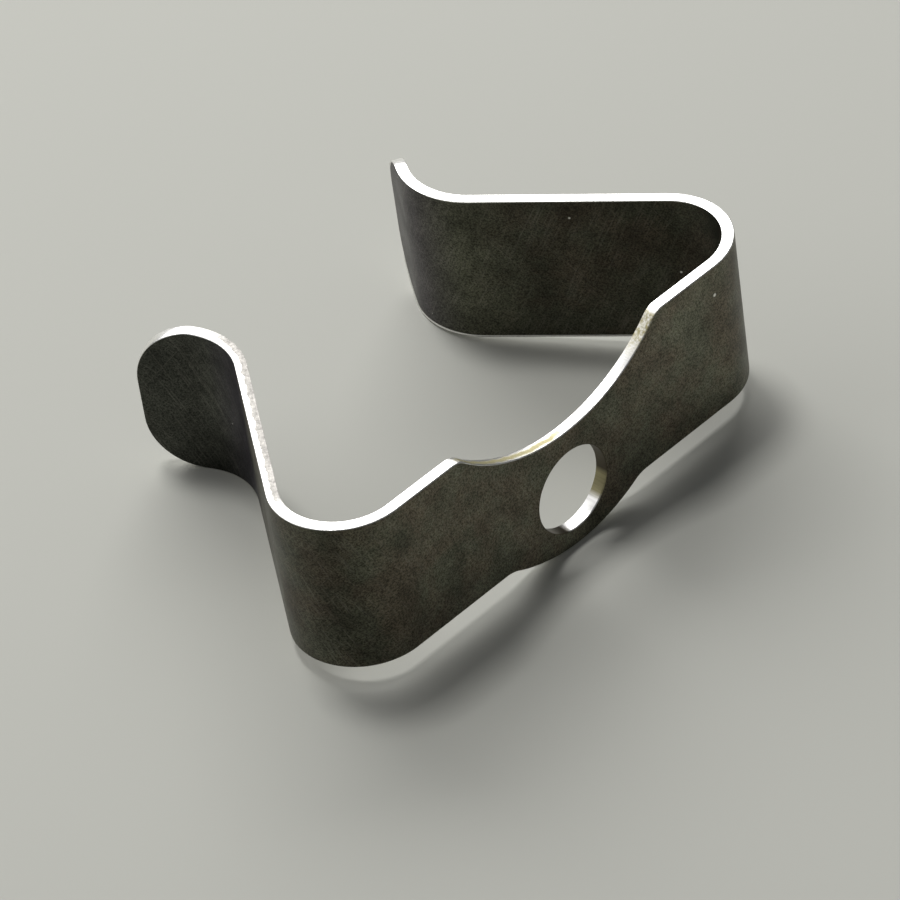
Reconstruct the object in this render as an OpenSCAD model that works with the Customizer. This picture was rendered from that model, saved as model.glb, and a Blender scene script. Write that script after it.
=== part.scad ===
// Spring clip for holding a round handle or tube against a board.
// One strip of spring steel is blanked, then folded into a flat back, two legs that
// lean in and two lips that flare out. The strip stands on edge: its width is the height.
// X runs along the back, Y from the back's outer face to the open mouth, Z up. Sizes in mm.

/* [Strip] */
// Width of the steel strip, which is the height of the legs
strip_width = 12; // [10:0.5:16]
// Thickness of the steel strip
strip_thickness = 0.8; // [0.5:0.1:1.2]

/* [Back] */
// Length of the back's straight part, from bend to bend
back_length = 31; // [28:0.5:40]
// Inner radius of the two bends between the back and the legs
bend_inner_radius = 4.25; // [3:0.25:6]

/* [Legs] */
// Angle by which each leg leans in from square to the back, in degrees
leg_lean = 36; // [28:1:38]
// Length of each leg's straight part
leg_length = 13.9; // [12:0.1:15]

/* [Lips] */
// Inner radius of the curve that turns each leg out into its lip
lip_inner_radius = 5.05; // [4:0.05:6]
// Angle through which that curve turns, in degrees
lip_turn = 68; // [55:1:80]
// Length of each lip's straight end
lip_end_length = 3.6; // [2.8:0.1:6]
// Radius of the two rounded corners at each lip's tip
tip_corner_radius = 4.35; // [2:0.05:4.5]

/* [Scallop in the top edge] */
// Width of the scallop where it meets the top edge
scallop_width = 19.1; // [14:0.1:24]
// Depth of the scallop at its middle
scallop_depth = 4.1; // [2:0.1:4.3]

/* [Eye lug under the bottom edge] */
// Width of the lug where it leaves the bottom edge
lug_width = 12.6; // [9:0.1:20]
// How far the lug reaches below the bottom edge
lug_depth = 1.7; // [0.8:0.1:3]

/* [Screw hole] */
// Diameter of the screw hole
screw_hole_diameter = 6.5; // [4.5:0.1:6.6]
// Height of the hole's centre above the strip's bottom edge
screw_hole_height = 2.9; // [2.6:0.1:3.2]

/* [Hidden] */
$fn = 128;
half_thickness = strip_thickness / 2;
half_back = back_length / 2;
// Radii of the strip's middle line in its two curves
bend_radius = bend_inner_radius + half_thickness;
lip_radius = lip_inner_radius + half_thickness;
// Directions of the leg, and of the lip's straight end, counted from +X
leg_direction = 90 + leg_lean;
lip_direction = leg_direction - lip_turn;
// Centres of the right half's two curves, with the back's outer face at y = 0
bend_centre = [half_back, half_thickness + bend_radius];
lip_centre = bend_centre + (bend_radius + lip_radius) * unit(leg_lean) + leg_length * unit(leg_direction);
// Heights: the lug's lowest point is z = 0
edge_bottom = lug_depth;
edge_middle = edge_bottom + strip_width / 2;
edge_top = edge_bottom + strip_width;
// Radii of the arcs that bound the scallop and the lug, from their chord and depth
scallop_radius = arc_radius(scallop_width, scallop_depth);
lug_radius = arc_radius(lug_width, lug_depth);
// How far a cutting shape runs past the face that it cuts
past = 1;
// How far a curve bulges over the straight lines it meets, so that the two always join
hair = 0.001;

// The direction at an angle from +X
function unit(angle) = [cos(angle), sin(angle)];

// The radius of an arc from its chord and its depth
function arc_radius(chord, depth) = (chord * chord / 4 + depth * depth) / (2 * depth);

// Points on one side of the strip: side is the distance outwards from its middle line
function leg_start(side) = bend_centre + (bend_radius + side) * unit(leg_lean);
function leg_end(side) = leg_start(side) + leg_length * unit(leg_direction);
function lip_start(side) = lip_centre + (lip_radius - side) * unit(lip_direction + 90);
function lip_tip(side, extra) = lip_start(side) + (lip_end_length + extra) * unit(lip_direction);

// Where the line across the lip's tip meets the clip's middle plane
function mouth_point(tip) = [0, tip[1] + tip[0] / tan(lip_direction)];

// The right half of all that one side of the strip encloses, seen from above
module half_enclosed(side, extra) {
    tip = lip_tip(side, extra);
    difference() {
        union() {
            translate(bend_centre)
                circle(r = bend_radius + side + hair);
            polygon([
                [0, half_thickness - side],
                [half_back, half_thickness - side],
                leg_start(side),
                leg_end(side),
                lip_centre,
                lip_start(side),
                tip,
                mouth_point(tip)
            ]);
        }
        translate(lip_centre)
            circle(r = lip_radius - side + hair);
    }
}

// All that one side of the strip encloses
module enclosed(side, extra) {
    half_enclosed(side, extra);
    mirror([1, 0])
        half_enclosed(side, extra);
}

// The folded strip, before its edges are shaped
module folded_strip() {
    translate([0, 0, edge_bottom])
        linear_extrude(height = strip_width)
            difference() {
                enclosed(half_thickness, 0);
                enclosed(-half_thickness, past);
            }
}

// A cylinder through the back, with its axis along Y
module through_back(radius, height, over) {
    translate([0, -over, height])
        rotate([-90, 0, 0])
            cylinder(r = radius, h = strip_thickness + 2 * over);
}

// The shallow rounded lug under the screw hole
module eye_lug() {
    intersection() {
        through_back(lug_radius, lug_radius, 0);
        translate([-lug_width, -past, -past])
            cube([2 * lug_width, strip_thickness + 2 * past, edge_bottom + 2 * past]);
    }
}

// What is trimmed off a corner of the tip: a square less a disc
module corner_trim() {
    translate([-tip_corner_radius, strip_width / 2 - tip_corner_radius])
        difference() {
            square(tip_corner_radius + past);
            circle(r = tip_corner_radius + hair);
        }
}

// What is trimmed off the right lip's tip, across the strip
module tip_trim() {
    tip = lip_tip(0, 0);
    reach = strip_thickness + past;
    translate([tip[0], tip[1], edge_middle])
        rotate([90, 0, lip_direction])
            translate([0, 0, -reach])
                linear_extrude(height = 2 * reach) {
                    corner_trim();
                    mirror([0, 1])
                        corner_trim();
                }
}

// The clip, in one piece
module clip() {
    color([0.25, 0.24, 0.22])
        translate([0, -lip_tip(-half_thickness, 0)[1] / 2, 0])
            difference() {
                union() {
                    folded_strip();
                    eye_lug();
                }
                through_back(scallop_radius, edge_top - scallop_depth + scallop_radius, past);
                through_back(screw_hole_diameter / 2, edge_bottom + screw_hole_height, past);
                tip_trim();
                mirror([1, 0, 0])
                    tip_trim();
            }
}

clip();
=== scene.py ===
# %% [markdown]
# # A folded spring clip
# The object is one strip of spring steel, blanked flat and then folded: a flat back
# with a screw hole, two legs that lean in and two lips that flare out. The lesson makes
# it in the same order as the workshop does: cut the blank, break its edges, fold it,
# then give the steel its finish.

# %% Load the frame
import math
import bpy
from mathutils import Matrix, Vector


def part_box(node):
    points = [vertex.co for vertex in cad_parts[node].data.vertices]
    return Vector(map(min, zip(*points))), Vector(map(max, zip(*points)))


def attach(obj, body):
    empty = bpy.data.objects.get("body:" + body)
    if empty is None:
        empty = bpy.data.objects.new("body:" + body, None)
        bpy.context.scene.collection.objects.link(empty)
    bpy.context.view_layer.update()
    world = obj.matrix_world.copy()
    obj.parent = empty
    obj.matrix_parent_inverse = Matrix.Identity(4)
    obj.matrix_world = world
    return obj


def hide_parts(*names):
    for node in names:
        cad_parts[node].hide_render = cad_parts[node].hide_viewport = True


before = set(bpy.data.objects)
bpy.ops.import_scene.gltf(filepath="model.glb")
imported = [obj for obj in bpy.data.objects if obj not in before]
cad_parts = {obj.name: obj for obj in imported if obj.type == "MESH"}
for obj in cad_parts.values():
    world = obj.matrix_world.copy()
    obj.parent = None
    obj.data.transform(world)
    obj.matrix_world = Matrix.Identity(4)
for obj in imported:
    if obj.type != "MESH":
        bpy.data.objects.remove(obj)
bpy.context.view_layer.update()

# %% [markdown]
# Every size below is one that a rule or a calliper would read off a real clip, in
# millimetres, so the model can be put right by changing one number. The curves are
# given on the strip's middle line, which keeps its length when it is folded. The clip is
# modelled a thousand times too big, one Blender metre for each millimetre, because the
# operators' own tolerances suit things of that size, and scaled at the end.

# %% Sizes of the clip
strip_width = 12
strip_thickness = 0.8
back_length = 31
bend_radius = 4.65
leg_lean = math.radians(36)
leg_length = 13.9
lip_radius = 5.45
lip_turn = math.radians(68)
lip_end_length = 3.6
tip_corner_radius, right_top_radius = 4.35, 3.6
scallop_width, scallop_depth = 19.1, 4.1
lug_width, lug_depth = 12.6, 1.7
hole_radius, hole_height = 3.25, 2.9
mm_per_metre = 1000

bend_turn = math.pi / 2 + leg_lean
half_length = (back_length / 2 + bend_radius * bend_turn + leg_length
               + lip_radius * lip_turn + lip_end_length)
print("blank", round(2 * half_length, 2), "mm long")

# %% [markdown]
# The blank could be drawn point by point, but a press makes it from a plain strip with
# a few cuts, and the same cuts make it here. A box takes the strip's length and
# thickness, and is a little too wide. It lies along X from X = 0, so X is the distance
# along the strip from its left end, and the strip's bottom edge is at Z = 0.

# %% Take a piece of strip
def only(obj):
    """Leave one object selected and active."""
    bpy.ops.object.select_all(action="DESELECT")
    obj.select_set(True)
    bpy.context.view_layer.objects.active = obj


def block(length, thickness, low, high):
    """A box centred on the strip's length and thickness, between two heights."""
    bpy.ops.object.select_all(action="DESELECT")
    bpy.ops.mesh.primitive_cube_add(size=1, location=(half_length, 0, (low + high) / 2))
    box = bpy.context.object
    box.scale = (length, thickness, high - low)
    bpy.ops.object.transform_apply(location=True, rotation=True, scale=True)
    return box


spare = 1
clip = block(2 * half_length, strip_thickness, -lug_depth - spare, strip_width)
clip.name = "spring_clip"
print("strip", [round(v, 2) for v in clip.dimensions])

# %% [markdown]
# The lug, the scallop and the screw hole are arcs of circles. Each punch is a cylinder
# across the strip, and the boolean modifier cuts with it as the press tool does. The lug
# could be a disc joined to the strip, but joining two pieces whose faces lie in one plane
# leaves a seam. So the shear that trims the bottom edge has a round notch, and what
# stays in the notch is the lug. Where an arc runs out into a straight edge the tool is
# worn a little round. A bevel would have to slide past the arc's short steps there, so
# each of these corners is cut by a small block with a round hollow instead. Each tool
# reaches further through the strip than the piece it cuts, so no two faces lie together.

# %% Shear the bottom edge round the lug, and punch the scallop and the hole
def apply_modifier(obj, kind, **settings):
    """Add one modifier, set it and apply it."""
    only(obj)
    modifier = obj.modifiers.new(kind.title(), kind)
    for name, value in settings.items():
        setattr(modifier, name, value)
    bpy.ops.object.modifier_apply(modifier=modifier.name)


def arc_radius(chord, depth):
    """The radius of an arc from its chord and depth."""
    return (chord * chord / 4 + depth * depth) / (2 * depth)


shear_reach, block_reach, punch_reach = (n * strip_thickness for n in (4, 6, 8))
arc_sides, hole_sides, softening_sides = 360, 96, 120


def punch(radius, height, sides, x=half_length):
    """A cylinder across the strip, at the middle of its length unless x says otherwise."""
    bpy.ops.object.select_all(action="DESELECT")
    bpy.ops.mesh.primitive_cylinder_add(vertices=sides, radius=radius,
                                        depth=punch_reach, location=(x, 0, height),
                                        rotation=(math.pi / 2, 0, 0))
    bpy.ops.object.transform_apply(location=True, rotation=True, scale=True)
    return bpy.context.object


def cut(piece, tool):
    """Cut the tool out of a piece and throw the tool away."""
    apply_modifier(piece, "BOOLEAN", operation="DIFFERENCE", solver="EXACT", object=tool)
    bpy.data.objects.remove(tool)


def soften(piece, top, arc_size, arc_height, radius):
    """Round both corners where a punched arc runs out into a straight top edge."""
    across = math.sqrt((arc_size + radius) ** 2 - (arc_height - top + radius) ** 2)
    inner = across * arc_size / (arc_size + radius)
    for side in (-1, 1):
        corner = block(across - inner, block_reach, top - radius, top + spare)
        bpy.ops.transform.translate(value=(side * (across + inner) / 2, 0, 0))
        bpy.ops.object.transform_apply(location=True, rotation=True, scale=True)
        cut(corner, punch(radius, top - radius, softening_sides, half_length + side * across))
        cut(piece, corner)


scallop_softness, lug_softness, same_point = 1.6, 2.5, 0.01
lug_radius = arc_radius(lug_width, lug_depth)
lug_middle = lug_radius - lug_depth
shear = block(2 * half_length + 2 * spare, shear_reach, -lug_depth - 2 * spare, 0)
cut(shear, punch(lug_radius, lug_middle, arc_sides))
soften(shear, 0, lug_radius, lug_middle, lug_softness)
cut(clip, shear)

scallop_radius = arc_radius(scallop_width, scallop_depth)
scallop_middle = strip_width - scallop_depth + scallop_radius
cut(clip, punch(scallop_radius, scallop_middle, arc_sides))
soften(clip, strip_width, scallop_radius, scallop_middle, scallop_softness)
cut(clip, punch(hole_radius, hole_height, hole_sides))
only(clip)
bpy.ops.object.mode_set(mode="EDIT")
bpy.ops.mesh.select_all(action="SELECT")
bpy.ops.mesh.remove_doubles(threshold=same_point)
bpy.ops.object.mode_set(mode="OBJECT")
print("blank", len(clip.data.vertices), "points", [round(v, 3) for v in clip.dimensions])

# %% [markdown]
# The tips are cut round in the same stroke. Their four corners are edges through the
# strip's thickness, so they are picked by their place and the bevel operator rounds
# them. On this clip the right lip's top corner came out a little sharper than the rest.

# %% Round the tips
def pick(obj, kind, wanted):
    """Go to edit mode with only the wanted vertices, edges or faces selected, by number."""
    only(obj)
    bpy.ops.object.mode_set(mode="EDIT")
    bpy.ops.mesh.select_mode(type=kind)
    bpy.ops.mesh.select_all(action="DESELECT")
    bpy.ops.object.mode_set(mode="OBJECT")
    parts = {"VERT": obj.data.vertices, "EDGE": obj.data.edges, "FACE": obj.data.polygons}
    for number in wanted:
        parts[kind][number].select = True
    bpy.ops.object.mode_set(mode="EDIT")


def ends(obj, edge):
    """Where an edge starts and where it stops."""
    return [obj.data.vertices[i].co for i in edge.vertices]


corner_steps, tip_reach = 24, 0.1
corner_radii = {"left": tip_corner_radius, "right": tip_corner_radius,
                "right top": right_top_radius}
for which, radius in corner_radii.items():
    corners = []
    for edge in clip.data.edges:
        start, stop = ends(clip, edge)
        place = "left" if start.x < half_length else "right"
        if place == "right" and start.z > strip_width / 2:
            place = "right top"
        goes_through = abs(start.y - stop.y) > strip_thickness / 2
        at_tip = abs(start.x - half_length) > half_length - tip_reach
        if place == which and goes_through and at_tip:
            corners.append(edge.index)
    pick(clip, "EDGE", corners)
    bpy.ops.mesh.bevel(offset=radius, segments=corner_steps, affect="EDGES")
    bpy.ops.object.mode_set(mode="OBJECT")
    print(which, len(corners), "corners rounded to", radius)
print("blank", len(clip.data.vertices), "points")

# %% [markdown]
# A press leaves its marks on an edge: the side it enters is rolled over, and the side it
# leaves keeps a low burr. The burr could be a thin piece of its own, but it is one with
# the steel, so the inner face is inset by the burr's width and its outline is drawn up
# by the burr's height, all round the blank and higher round the hole. At the very tips
# it is rubbed off. The blank is first tidied into a few large faces and cut across beside
# the hole and through its middle, so that no wide face has a hole in it.

# %% Leave the burr
burr_width, burr_height, hole_burr_height = 0.12, 0.08, 0.20
tip_bare, beside_hole, rim_slack = 0.6, 1, 0.02
flat_enough, cut_slack = math.radians(0.05), 1e-5
# A wide face's normal points further along Y than the first of these, and its points lie
# further from the strip's middle than the second.
wide_face_normal, wide_face_depth = 0.98, 0.99 * strip_thickness / 2


def cross_cut(x):
    """Cut all the way round the blank at one place along it."""
    bpy.ops.mesh.select_all(action="SELECT")
    bpy.ops.mesh.bisect(plane_co=(x, 0, 0), plane_no=(1, 0, 0), threshold=cut_slack)


def from_hole(point):
    """How far a point of the blank is from the hole's axis."""
    return math.hypot(point.co.x - half_length, point.co.z - hole_height)


apply_modifier(clip, "DECIMATE", decimate_type="DISSOLVE", angle_limit=flat_enough)
only(clip)
bpy.ops.object.mode_set(mode="EDIT")
for part in (-1, 0, 1):
    cross_cut(half_length + part * (hole_radius + beside_hole))
bpy.ops.object.mode_set(mode="OBJECT")
pick(clip, "FACE", [face.index for face in clip.data.polygons
                    if face.normal.y > wide_face_normal])
bpy.ops.mesh.inset(thickness=burr_width)
bpy.ops.mesh.select_mode(type="VERT")
bpy.ops.object.mode_set(mode="OBJECT")
outline = [point.index for point in clip.data.vertices
           if not point.select and point.co.y > wide_face_depth
           and tip_bare < point.co.x < 2 * half_length - tip_bare]
pick(clip, "VERT", outline)
bpy.ops.transform.translate(value=(0, burr_height, 0))
bpy.ops.object.mode_set(mode="OBJECT")
hole_rim = [i for i in outline if from_hole(clip.data.vertices[i]) < hole_radius + rim_slack]
pick(clip, "VERT", hole_rim)
bpy.ops.transform.translate(value=(0, hole_burr_height - burr_height, 0))
bpy.ops.object.mode_set(mode="OBJECT")
print("burr", len(outline), "points,", len(hole_rim), "of them at the hole")

# %% [markdown]
# The outer rims are rolled over with the bevel operator, because only they need so much.
# Every other sharp edge is broken by a few hundredths with the bevel modifier, which
# finds them by their angle. That is what makes the burr catch the light as a thin line.

# %% Roll the outer rims over and break the edges
rolled_over, rollover_steps = 0.09, 4
edge_break, break_steps = 0.05, 3
sharp = math.radians(60)

pick(clip, "EDGE", [])
bpy.ops.mesh.edges_select_sharp(sharpness=sharp)
bpy.ops.object.mode_set(mode="OBJECT")
outer_rims = [edge.index for edge in clip.data.edges
              if edge.select and max(end.y for end in ends(clip, edge)) < -wide_face_depth]
pick(clip, "EDGE", outer_rims)
bpy.ops.mesh.bevel(offset=rolled_over, segments=rollover_steps, affect="EDGES")
bpy.ops.object.mode_set(mode="OBJECT")
apply_modifier(clip, "BEVEL", width=edge_break, segments=break_steps, limit_method="ANGLE",
               angle_limit=sharp)
print("outer rims", len(outer_rims), "edges, now", len(clip.data.vertices), "points and",
      len(clip.data.polygons), "faces")

# %% [markdown]
# The wide faces keep the rolled skin of the strip, and the cut edges are bare metal, so
# they are two finishes. They are told apart now, while the blank is flat and a face's
# normal says which it is. The blank's own coordinates are kept as an attribute too, so
# that the grain and the marks of the shears follow the steel round its folds.

# %% Mark the faces, the edges and the place along the strip
SKIN, EDGE = 0, 1
for face in clip.data.polygons:
    face.material_index = SKIN if abs(face.normal.y) > wide_face_normal else EDGE

flat = clip.data.attributes.new("flat_blank", "FLOAT_VECTOR", "POINT")
for point in clip.data.vertices:
    flat.data[point.index].vector = point.co
print("edge faces", sum(face.material_index == EDGE for face in clip.data.polygons))

# %% [markdown]
# A mesh bends only where it has edges across the bend. The loop cut tool needs a window,
# so the bisect operator makes the cuts: a cut every 3 degrees of turn at each bend and
# each lip, and none in the straight parts, which stay flat.

# %% Cut the blank across where it will bend
degrees_per_cut = 3
lip_arc = lip_radius * lip_turn
bend_arc = bend_radius * bend_turn
lip_from = lip_end_length
bend_from = lip_from + lip_arc + leg_length
only(clip)
bpy.ops.object.mode_set(mode="EDIT")
bpy.ops.mesh.select_mode(type="VERT")
for arc_from, arc, turn in ((lip_from, lip_arc, lip_turn), (bend_from, bend_arc, bend_turn)):
    steps = round(math.degrees(turn) / degrees_per_cut)
    for step in range(steps + 1):
        place = arc_from + arc * step / steps
        cross_cut(place)
        cross_cut(2 * half_length - place)
bpy.ops.object.mode_set(mode="OBJECT")
print("ready to fold", len(clip.data.vertices), "points")

# %% [markdown]
# The strip could be folded bend by bend with rotations, but a curve modifier does it in
# one pass: it carries each point along a line and keeps its distance from that line. The
# line is the folded strip's middle line. It is walked out as the strip runs, straight
# stretches and turns in order, with a point every fifth of a millimetre.

# %% Draw the folded middle line
def stretch(heading, length, turn):
    """Where a stretch of a path ends, from its start, for its heading, length and turn."""
    if turn == 0:
        return Vector((math.cos(heading), math.sin(heading))) * length
    radius = length / turn
    return Vector((math.sin(heading + turn) - math.sin(heading),
                   math.cos(heading) - math.cos(heading + turn))) * radius


def walk(stretches, pace):
    """Points a pace apart along a path of (length, turn) stretches, and its end point."""
    place, heading, gone, points = Vector((0, 0)), 0.0, 0.0, []
    for length, turn in stretches:
        while gone < length:
            points.append(place + stretch(heading, gone, turn * gone / length))
            gone += pace
        gone -= length
        place = place + stretch(heading, length, turn)
        heading += turn
    return points + [place]


fold_pace = 0.2
half_path = [(back_length / 2, 0), (bend_arc, bend_turn), (leg_length, 0),
             (lip_arc, -lip_turn), (lip_end_length, 0)]
right_half = walk(half_path, fold_pace)
middle_line = [Vector((-p.x, p.y)) for p in reversed(right_half[1:])] + right_half

fold_data = bpy.data.curves.new("fold_line", "CURVE")
fold_data.dimensions = "2D"
spline = fold_data.splines.new("POLY")
spline.points.add(len(middle_line) - 1)
for point, place in zip(spline.points, middle_line):
    point.co = (place.x, place.y, 0, 1)
fold_line = bpy.data.objects.new("fold_line", fold_data)
bpy.context.scene.collection.objects.link(fold_line)
print("fold line", len(middle_line), "points")

# %% Fold the strip and set it in its place
apply_modifier(clip, "CURVE", object=fold_line, deform_axis="POS_X")
bpy.data.objects.remove(fold_line)

cad_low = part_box("clip")[0]
smooth_below = math.radians(35)
corners = [clip.matrix_world @ Vector(c) for c in clip.bound_box]
middle_y = (min(c.y for c in corners) + max(c.y for c in corners)) / 2
clip.location = (0, -middle_y / mm_per_metre, lug_depth / mm_per_metre)
clip.scale = [1 / mm_per_metre] * 3
only(clip)
bpy.ops.object.transform_apply(location=True, rotation=True, scale=True)
bpy.ops.object.shade_smooth_by_angle(angle=smooth_below)
apply_modifier(clip, "WEIGHTED_NORMAL", keep_sharp=True)
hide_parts("clip")
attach(clip, "root")
print("folded clip", [round(v * mm_per_metre, 3) for v in clip.dimensions], "mm")

# %% [markdown]
# The rolled skin of hardened strip is a thin dark oxide over steel: a metal that mirrors
# its surroundings dimly and a little softly. An even dark grey looks like paint, so the
# skin gets what a worn strip has: slow brown and olive clouds, fine crossing scratches and
# a few bright pinpricks. Light and shade are painted into it too: a paler back as painted
# light, darker legs and lips as painted shade, and violet tints on the lips as painted
# reflection. Each is a pattern read at the flat blank's coordinates, in millimetres. A
# finish is a tree of nodes, and the helpers below each add one step to a tree.

# %% Start a finish and read the place on the blank
def new_finish(name):
    """An empty node material; returns the material, its tree and its shader."""
    material = bpy.data.materials.new(name)
    material.use_nodes = True
    tree = material.node_tree
    tree.nodes.clear()
    output = tree.nodes.new("ShaderNodeOutputMaterial")
    shader = tree.nodes.new("ShaderNodeBsdfPrincipled")
    tree.links.new(shader.outputs["BSDF"], output.inputs["Surface"])
    return material, tree, shader


def put(tree, value, socket):
    """Set a socket to a number or a colour, or link it to another node's output."""
    if isinstance(value, bpy.types.NodeSocket):
        tree.links.new(value, socket)
    else:
        socket.default_value = value


def on_blank(tree, stretch=(1, 1, 1), turn=0.0):
    """The flat blank's coordinates, turned in its own plane and then drawn out."""
    source = tree.nodes.new("ShaderNodeAttribute")
    source.attribute_name = "flat_blank"
    mapping = tree.nodes.new("ShaderNodeMapping")
    mapping.vector_type = "TEXTURE"
    mapping.inputs["Scale"].default_value = stretch
    mapping.inputs["Rotation"].default_value = (0, turn, 0)
    tree.links.new(source.outputs["Vector"], mapping.inputs["Vector"])
    return mapping.outputs["Vector"]


def distance(tree, middle, stretch=(1, 1, 1)):
    """How far a point of the blank is from a place, with the stretch as the unit."""
    node = tree.nodes.new("ShaderNodeVectorMath")
    node.operation = "DISTANCE"
    tree.links.new(on_blank(tree, stretch), node.inputs[0])
    node.inputs[1].default_value = [m / s for m, s in zip(middle, stretch)]
    return node.outputs["Value"]


any_depth = 1000
print("a stretch of", any_depth, "mm leaves the depth out of a distance")

# %% Patterns and sums
def noise(tree, size, detail=3.0, rough=0.5, turn=0.0):
    """Noise from 0 to 1, with spots of one size or drawn out to a size along each axis."""
    stretch = size if isinstance(size, tuple) else (size, size, size)
    texture = tree.nodes.new("ShaderNodeTexNoise")
    texture.inputs["Scale"].default_value = 1.0
    texture.inputs["Detail"].default_value = detail
    texture.inputs["Roughness"].default_value = rough
    tree.links.new(on_blank(tree, stretch, turn), texture.inputs["Vector"])
    return texture.outputs["Fac"]


def remap(tree, value, low, high, to_low=0.0, to_high=1.0):
    """Stretch the part of a value between low and high to a new range."""
    node = tree.nodes.new("ShaderNodeMapRange")
    put(tree, value, node.inputs["Value"])
    for name, number in (("From Min", low), ("From Max", high),
                         ("To Min", to_low), ("To Max", to_high)):
        node.inputs[name].default_value = number
    return node.outputs["Result"]


def mix(tree, factor, a, b, blend="MIX"):
    """Mix two colours by a factor."""
    node = tree.nodes.new("ShaderNodeMix")
    node.data_type = "RGBA"
    node.blend_type = blend
    put(tree, factor, node.inputs["Factor"])
    put(tree, a, node.inputs["A"])
    put(tree, b, node.inputs["B"])
    return node.outputs["Result"]


def shade(tree, colour, value):
    """Darken or lighten a colour by a value."""
    return mix(tree, 1.0, colour, value, "MULTIPLY")


def maths(tree, operation, a, b=0.0):
    """One sum on two values."""
    node = tree.nodes.new("ShaderNodeMath")
    node.operation = operation
    put(tree, a, node.inputs[0])
    put(tree, b, node.inputs[1])
    return node.outputs["Value"]


# Noise keeps close to one half. A narrow range round it gives patches with an edge, and a
# wide one gives slow changes.
crisp, grainy, even, slow = (0.40, 0.60), (0.37, 0.63), (0.35, 0.65), (0.30, 0.70)
print("noise ranges", crisp, grainy, even, slow)

# %% Where a point is, and how a metal is wired
def places(tree):
    """How far right of the strip's middle, how deep through it, and how high across it."""
    split = tree.nodes.new("ShaderNodeSeparateXYZ")
    tree.links.new(on_blank(tree), split.inputs["Vector"])
    along = maths(tree, "SUBTRACT", split.outputs["X"], half_length)
    return along, split.outputs["Y"], split.outputs["Z"]


def wire_metal(tree, shader, colour, roughness, relief, strength, depth):
    """Give the shader a metal's colour, roughness and relief, with its depth in metres."""
    put(tree, colour, shader.inputs["Base Color"])
    put(tree, 1.0, shader.inputs["Metallic"])
    put(tree, roughness, shader.inputs["Roughness"])
    bump = tree.nodes.new("ShaderNodeBump")
    put(tree, strength, bump.inputs["Strength"])
    put(tree, depth, bump.inputs["Distance"])
    put(tree, relief, bump.inputs["Height"])
    put(tree, bump.outputs["Normal"], shader.inputs["Normal"])


leg_from = back_length / 2 + bend_arc / 2
lip_root = back_length / 2 + bend_arc + leg_length
print("legs from", round(leg_from, 2), "lips from", round(lip_root, 2), "mm")

# %% [markdown]
# The back is painted paler and the legs darker, most of all inside, as painted light and
# shade. The painted shade and violet painted reflection on the lips start just before their
# roots and are different on the two faces of the strip. Clouds, smudges and grain are three
# sizes of the same noise, laid over each other, and one dark oval of painted shade lies on
# the left bend.

# %% The rolled skin
skin_brown = (0.106, 0.092, 0.067, 1)
skin_olive = (0.090, 0.092, 0.066, 1)
# The lip colours are painted shade, with violet and mauve as painted reflection.
lip_painted_shade = (0.044, 0.046, 0.038, 1)
lip_painted_violet_reflection = (0.053, 0.047, 0.061, 1)
lip_painted_mauve_reflection = (0.066, 0.060, 0.062, 1)
cloud_size, smudge_size, grain_size = 4, 2.2, 0.12
# Painted light on the back, and painted shade on the legs that is deeper on their inner faces.
back_painted_light, leg_painted_shade, inner_leg_painted_shade = 1.40, 0.78, 0.86
smudge_shades, grain_shades = (0.72, 1.28), (0.42, 1.58)
before_bend, outer_to_inner = 2, (-0.1, 0.1)
painted_root_from, painted_root_full, painted_end_full = lip_root - 4, lip_root + 1, lip_root + 4.5

skin, tree, skin_shader = new_finish("rolled_skin")
along, depth, height = places(tree)
from_middle = maths(tree, "ABSOLUTE", along)
inner = remap(tree, depth, *outer_to_inner)
clouds = noise(tree, cloud_size, 4, 0.65)
colour = mix(tree, remap(tree, clouds, *crisp), skin_olive, skin_brown)
# Painted light and shade: the back is lightened and the legs are darkened.
colour = shade(tree, colour, remap(tree, from_middle, back_length / 2 - before_bend, leg_from,
                                   back_painted_light, leg_painted_shade))
# Painted shade on the inner faces of the legs.
inner_leg_shade_area = maths(tree, "MULTIPLY", inner, remap(tree, from_middle, back_length / 2, leg_from))
colour = shade(tree, colour, remap(tree, inner_leg_shade_area, 0.0, 1.0, 1.0, inner_leg_painted_shade))

# Painted reflection at the lips' roots and painted shade at their ends.
painted_lip_root = mix(tree, inner, lip_painted_violet_reflection, skin_olive)
painted_lip_end = mix(tree, inner, lip_painted_shade, lip_painted_mauve_reflection)
colour = mix(tree, remap(tree, from_middle, painted_root_from, painted_root_full), colour, painted_lip_root)
colour = mix(tree, remap(tree, from_middle, painted_root_full, painted_end_full), colour, painted_lip_end)

smudges = noise(tree, smudge_size, 3, 0.6)
grain = noise(tree, grain_size, 3, 0.7)
colour = shade(tree, colour, remap(tree, smudges, *slow, *smudge_shades))
colour = shade(tree, colour, remap(tree, grain, *grainy, *grain_shades))
print("clouds and grain", len(tree.nodes), "nodes")

# %% The painted shade on the left bend
past_back, painted_shade_height, painted_shade_size = 4.4, 5.4, (2.4, any_depth, 8.0)
painted_shade_fade, painted_shade_depth = (0.35, 1.0), 0.66

# A dark oval of painted shade on the left bend.
painted_bend_shade = (half_length - back_length / 2 - past_back, 0, painted_shade_height)
to_painted_bend_shade = distance(tree, painted_bend_shade, painted_shade_size)
colour = shade(tree, colour, remap(tree, to_painted_bend_shade, *painted_shade_fade, painted_shade_depth, 1.0))
print("mark", past_back, "mm past the back, on a bend", round(bend_arc, 1), "mm long")

# %% [markdown]
# Scratches could be drawn one by one, but a wipe leaves them in families, so each family
# is a noise drawn out into long thin streaks along its own direction, of which only the
# strongest are kept. The main family crosses the strip steeply, with a flatter one that
# goes the same way, and two lighter ones cross it the other way. The chips are spots of a
# cell pattern, and the one large chip has its own place.

# %% Scratches and chips
scratch_pale = (0.34, 0.32, 0.28, 1)
chip_white = (0.80, 0.79, 0.74, 1)
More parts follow.
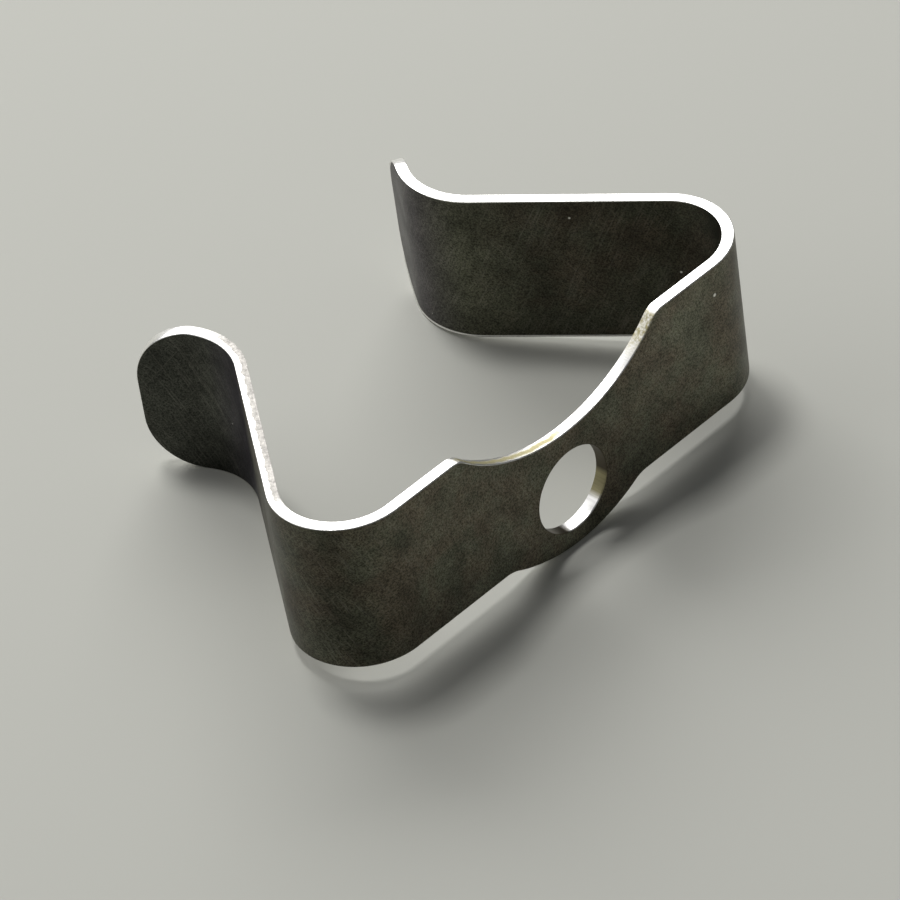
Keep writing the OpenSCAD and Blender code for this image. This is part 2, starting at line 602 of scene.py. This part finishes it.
# Each family: its angle in degrees, a streak's length and width, and the least that shows.
scratch_families = ((64, 3.5, 0.11, 0.55), (-50, 5.0, 0.09, 0.60), (38, 6.0, 0.08, 0.62),
                    (-12, 7.0, 0.08, 0.66))
streak_fade, wear = 0.12, (0.04, 0.17)
chip_cells_per_mm, chip_fade = 0.30, (0.035, 0.020)
chip_before_bend, chip_height, chip_radius, chip_core = 0.4, 9.7, 0.16, 0.6
skin_roughness, grain_roughness = (0.34, 0.46), 0.08

scratches = 0.0
for degrees, length, width, least in scratch_families:
    streaks = noise(tree, (length, 1, width), 2, 0.5, math.radians(degrees))
    kept = remap(tree, streaks, least, least + streak_fade)
    scratches = maths(tree, "MAXIMUM", kept, scratches)
worn = remap(tree, smudges, *even, *wear)
colour = mix(tree, maths(tree, "MULTIPLY", scratches, worn), colour, scratch_pale)

chips = tree.nodes.new("ShaderNodeTexVoronoi")
put(tree, chip_cells_per_mm, chips.inputs["Scale"])
put(tree, on_blank(tree), chips.inputs["Vector"])
chip = remap(tree, chips.outputs["Distance"], *chip_fade)
big_chip = (half_length + back_length / 2 - chip_before_bend, -strip_thickness / 2, chip_height)
knock = remap(tree, distance(tree, big_chip), chip_radius, chip_core * chip_radius)
colour = mix(tree, maths(tree, "MAXIMUM", chip, knock), colour, chip_white)

rough = maths(tree, "ADD", remap(tree, clouds, *slow, *skin_roughness),
              maths(tree, "MULTIPLY", grain, grain_roughness))
wire_metal(tree, skin_shader, colour, rough, maths(tree, "SUBTRACT", grain, scratches),
           strength=0.20, depth=0.00002)
print("skin", len(tree.nodes), "nodes")

# %% [markdown]
# Shears and punches leave bare steel at the edges. The sheared long edges are white from
# side to side, except along the left leg, where the inner half of the thickness broke off
# grey and crumbly under the shear. Where a punch bites least the steel tears instead:
# over the left of the scallop a dull yellowish band runs in the middle of the thickness
# between two bright rims, and at the scallop's right end the whole wall is yellowish. The
# flat blank's coordinates place these parts. Each fade below goes from the place where
# the part ends to the place where it is full.

# %% The torn scallop
edge_bright = (0.93, 0.92, 0.89, 1)
edge_torn = (0.46, 0.42, 0.25, 1)
edge_broken = (0.39, 0.375, 0.35, 1)
wander_size, wander_reach = (0.8, 9, 0.8), (-0.12, 0.12)
crumb_size = 0.22
scallop_rise = (7.0, 7.5)
scallop_end = (scallop_width / 2 + 0.3, scallop_width / 2 - 0.3)
band_fade, left_band_fade = (0.36, 0.12), (2.0, -1.0)
right_patch_fade, patch_crumbs = (6.5, 8.0), (0.35, 0.60, 0.2, 1.0)

edges, tree, edge_shader = new_finish("cut_edge")
along, depth, height = places(tree)
in_scallop = maths(tree, "MULTIPLY", remap(tree, height, *scallop_rise),
                   remap(tree, maths(tree, "ABSOLUTE", along), *scallop_end))
wander = remap(tree, noise(tree, wander_size), *slow, *wander_reach)
wandered = maths(tree, "ADD", depth, wander)
crumbs = noise(tree, crumb_size, 3, 0.7)
left_band = maths(tree, "MULTIPLY",
                  remap(tree, maths(tree, "ABSOLUTE", wandered), *band_fade),
                  remap(tree, along, *left_band_fade))
right_patch = maths(tree, "MULTIPLY", remap(tree, along, *right_patch_fade),
                    remap(tree, crumbs, *patch_crumbs))
torn_scallop = maths(tree, "MULTIPLY", maths(tree, "MAXIMUM", left_band, right_patch), in_scallop)
print("scallop", len(tree.nodes), "nodes")

# %% [markdown]
# In the hole the wall is torn and yellowish low on the right. Higher up and on the left
# the wall is given the skin's dark brown as painted shade. Along the left leg the broken
# half is grey, and its crumbs lighten and darken it.

# %% The hole and the left leg
in_hole_fade = (hole_radius + 0.4, hole_radius + 0.2)
hole_torn_fade = (0.4, 0.8)
hole_shade_above, hole_shade_left = (1.9, 2.4), (-0.5, -1.0)
leg_break_from = (-back_length / 2 - 6, -back_length / 2 - 10)
leg_break_to = (-lip_root - 6, -lip_root - 3)
break_line, crumb_shades = (-0.04, 0.04), (-0.3, 0.3)

hole_middle = (half_length, 0, hole_height)
in_hole = remap(tree, distance(tree, hole_middle, (1, any_depth, 1)), *in_hole_fade)
hole_torn = maths(tree, "MULTIPLY", in_hole, remap(tree, height, *hole_torn_fade))
torn = maths(tree, "MAXIMUM", torn_scallop, hole_torn)
# Painted shade on the upper and left part of the hole wall.
painted_hole_shade = maths(tree, "MULTIPLY", in_hole,
                maths(tree, "MAXIMUM", remap(tree, height, *hole_shade_above),
                      remap(tree, along, *hole_shade_left)))
on_left_leg = maths(tree, "MULTIPLY", remap(tree, along, *leg_break_from),
                    remap(tree, along, *leg_break_to))
broken = maths(tree, "MULTIPLY", on_left_leg, remap(tree, wandered, *break_line))
crumbly = maths(tree, "MULTIPLY", broken, remap(tree, crumbs, *even, *crumb_shades))
print("hole and leg", len(tree.nodes), "nodes")

# %% [markdown]
# The parts are laid over the bright metal in turn. Fine lines across the edge are the
# marks that the tools left in the steel as they went through, and the torn and broken
# parts are rougher than the bright ones. Both finishes then go on the clip.

# %% The cut edges
mark_stretch, mark_range, mark_shades = (0.12, 2, 0.12), (0.5, 0.8), (1.0, 0.72)
edge_roughness, mark_roughness = (0.26, 0.50), 0.1

colour = mix(tree, broken, edge_bright, edge_broken)
colour = shade(tree, colour, maths(tree, "ADD", 1.0, crumbly))
colour = mix(tree, torn, colour, edge_torn)
# The painted shade in the hole takes the skin's dark brown.
colour = mix(tree, painted_hole_shade, colour, skin_brown)
tool_marks = noise(tree, mark_stretch, 3, 0.6)
colour = shade(tree, colour, remap(tree, tool_marks, *mark_range, *mark_shades))
torn_or_broken = maths(tree, "MAXIMUM", torn, broken)
rough = maths(tree, "ADD", remap(tree, torn_or_broken, 0, 1, *edge_roughness),
              maths(tree, "MULTIPLY", tool_marks, mark_roughness))
wire_metal(tree, edge_shader, colour, rough, tool_marks, strength=0.10, depth=0.00003)
clip.data.materials.append(skin)
clip.data.materials.append(edges)
edge_area = sum(face.area for face in clip.data.polygons if face.material_index == EDGE)
print("edge nodes", len(tree.nodes), "edge area", round(edge_area * mm_per_metre ** 2), "mm2")

# %% [markdown]
# The lug hangs lower than the strip, so the clip on a table rests on the lug and on the
# bottom corners of its two lips, with its back lifted. The floor is laid through those
# three points, and tilts instead of the clip, because the clip stays in its own frame. It
# lies a hair lower, so that it touches nothing.

# %% The floor it rests on
floor_size, hair = 3, 0.00001
floor_colour, floor_roughness = (0.55, 0.55, 0.50, 1), 0.85
level_digits = 6

heel = min((v.co for v in clip.data.vertices), key=lambda c: (round(c.z, level_digits), -c.y))
rest_tilt = min(math.atan2(v.co.z - heel.z, v.co.y - heel.y)
                for v in clip.data.vertices if v.co.y > 0)
bpy.ops.object.select_all(action="DESELECT")
bpy.ops.mesh.primitive_plane_add(size=floor_size, location=(0, heel.y, heel.z - hair),
                                 rotation=(rest_tilt, 0, 0))
floor = bpy.context.object
floor.name = "floor"
bpy.ops.object.transform_apply(location=True, rotation=True, scale=True)
ground, tree, ground_shader = new_finish("pale_ground")
put(tree, floor_colour, ground_shader.inputs["Base Color"])
put(tree, floor_roughness, ground_shader.inputs["Roughness"])
floor.data.materials.append(ground)
print("floor tilt", round(math.degrees(rest_tilt), 2), "degrees")

# %% [markdown]
# The camera stands to the left of the back and looks down over it, well away and with a
# long lens, so the clip's far side is hardly smaller than its near side. It is given by
# the way it looks, round, down and rolled, and by the place in the clip that it aims at,
# measured from the middle of the back's outer face and from the lowest point of the lug.

# %% The camera
view_round, view_down, view_roll = (math.radians(a) for a in (40.47, 39.61, -8.76))
view_distance = 392.6 / mm_per_metre
aim_right, aim_in, aim_up = -4.4, 6.82, 7.7
lens_length, film_width = 234.53, 36
nearest, farthest = 0.01, 10

look_at = Vector((aim_right / mm_per_metre, cad_low.y + aim_in / mm_per_metre,
                  aim_up / mm_per_metre))
forward = Vector((math.sin(view_round) * math.cos(view_down),
                  math.cos(view_round) * math.cos(view_down), -math.sin(view_down)))
level = Vector((math.cos(view_round), -math.sin(view_round), 0))
upright = level.cross(forward)
right = math.cos(view_roll) * level + math.sin(view_roll) * upright
up = -math.sin(view_roll) * level + math.cos(view_roll) * upright
camera_data = bpy.data.cameras.new("camera")
camera_data.lens, camera_data.sensor_width = lens_length, film_width
camera_data.clip_start, camera_data.clip_end = nearest, farthest
camera = bpy.data.objects.new("camera", camera_data)
eye = look_at - forward * view_distance
camera.matrix_world = Matrix((
    (right.x, up.x, -forward.x, eye.x),
    (right.y, up.y, -forward.y, eye.y),
    (right.z, up.z, -forward.z, eye.z),
    (0, 0, 0, 1)))
bpy.context.scene.collection.objects.link(camera)
bpy.context.scene.camera = camera
print("camera at", [round(v, 4) for v in eye])

# %% [markdown]
# A cut edge that faces up mirrors what stands behind the clip at half height, so a window
# of light behind it on the right whitens the edges. A weaker pale wall behind it on the
# left does the same for the edges that turn that way and for the sides of the bends. A
# small lamp almost overhead lays the shadow in front of the back, with a lit gap under
# the lifted edge. Places and sizes are in metres and powers in watts; a pale sky fills
# the rest.

# %% The lamps
def softbox(name, place, width, height, power):
    """A white lamp that faces the clip, level from side to side."""
    data = bpy.data.lights.new(name, "AREA")
    data.shape, data.size, data.size_y = "RECTANGLE", width, height
    data.energy = power
    lamp = bpy.data.objects.new(name, data)
    lamp.location = place
    lamp.rotation_euler = (-Vector(place)).to_track_quat("-Z", "Y").to_euler()
    bpy.context.scene.collection.objects.link(lamp)


softbox("window", place=(0.33, 0.50, 0.46), width=0.75, height=0.45, power=4.3)
softbox("pale_wall", place=(-0.26, 0.52, 0.47), width=1.20, height=0.50, power=1.9)
softbox("overhead", place=(0.03, 0.18, 0.67), width=0.14, height=0.14, power=1.5)

sky_colour, sky_strength = (0.95, 0.97, 1.0, 1), 0.12
world = bpy.data.worlds.new("sky")
world.use_nodes = True
background = world.node_tree.nodes["Background"]
background.inputs["Color"].default_value = sky_colour
background.inputs["Strength"].default_value = sky_strength
bpy.context.scene.world = world
bpy.context.scene.view_settings.view_transform = "Standard"
